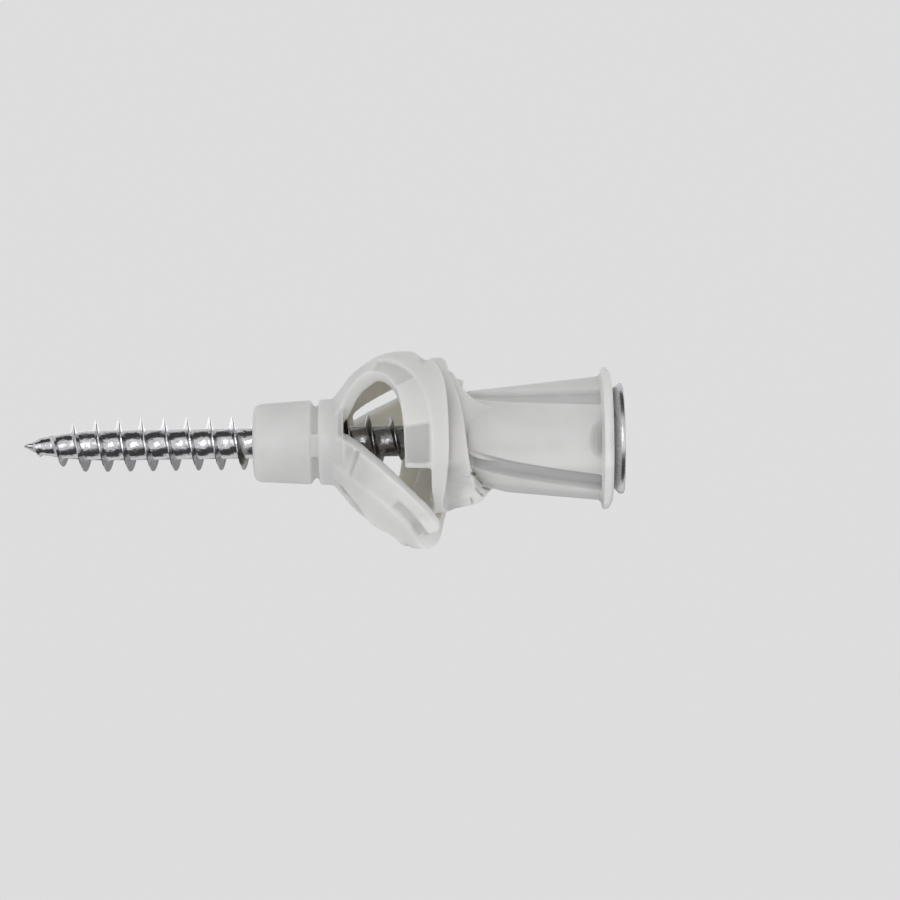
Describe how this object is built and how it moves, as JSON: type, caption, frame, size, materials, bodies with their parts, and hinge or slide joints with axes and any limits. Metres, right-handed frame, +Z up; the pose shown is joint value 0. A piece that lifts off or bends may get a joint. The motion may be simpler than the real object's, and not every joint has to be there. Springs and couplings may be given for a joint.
{
  "type": "collar wall plug",
  "caption": "Collared plastic wall plug as it sits once set: a countersunk screw runs through it and its legs are twisted into a knot behind the sleeve.",
  "frame": {"origin": "centre of the collar's back face, on the wall's surface", "axes": "+X along the plug's axis, out of the wall; +Z up"},
  "size_m": [0.0698, 0.0222, 0.023],
  "materials": {
    "nylon": "satin natural nylon",
    "plated_steel": "bright zinc plate"
  },
  "bodies": {
    "plug": {"plug": "nylon"},
    "screw": {"screw": "plated_steel"}
  },
  "joints": [
    {"name": "screw_turn", "type": "hinge", "parent": "plug", "child": "screw", "pos_m": [0, 0, 0], "axis": [1, 0, 0], "continuous": true}
  ]
}
